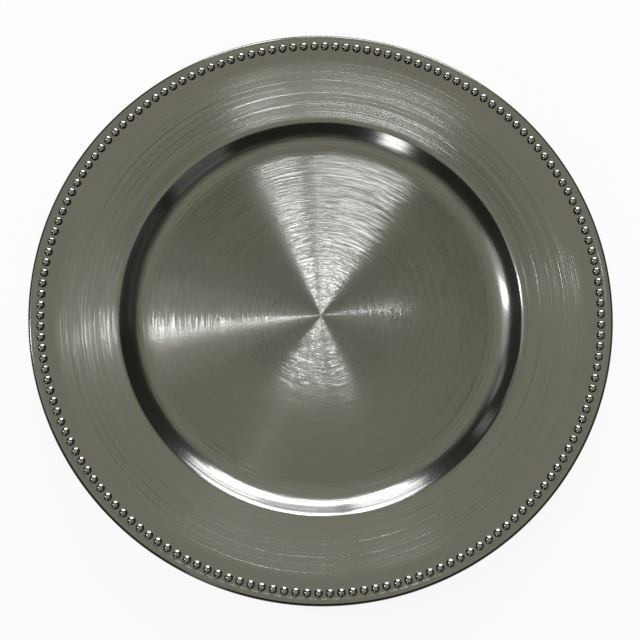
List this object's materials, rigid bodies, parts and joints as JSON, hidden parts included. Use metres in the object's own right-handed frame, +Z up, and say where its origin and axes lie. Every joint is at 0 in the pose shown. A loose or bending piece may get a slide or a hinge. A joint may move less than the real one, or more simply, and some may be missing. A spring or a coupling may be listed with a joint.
{
  "type": "charger plate",
  "caption": "Round charger plate with a flat brushed well, a steep polished shoulder, a wide bowed rim, a beaded border and a foot ring.",
  "frame": {"origin": "middle of the foot ring's flat underside, which is the plane that the plate rests on", "axes": "+Z up along the plate's axis; X and Y lie in the table's plane, and +X passes through the middle of a bead"},
  "size_m": [0.33, 0.33, 0.0211],
  "materials": {
    "core": "satin lacquered moulding",
    "face": "spun-brushed, pewter tint, satin",
    "beads": "polished, pewter tint"
  },
  "bodies": {
    "root": {"core_plate": "core", "brushed_face": "face", "bead_border": "beads"}
  },
  "joints": []
}
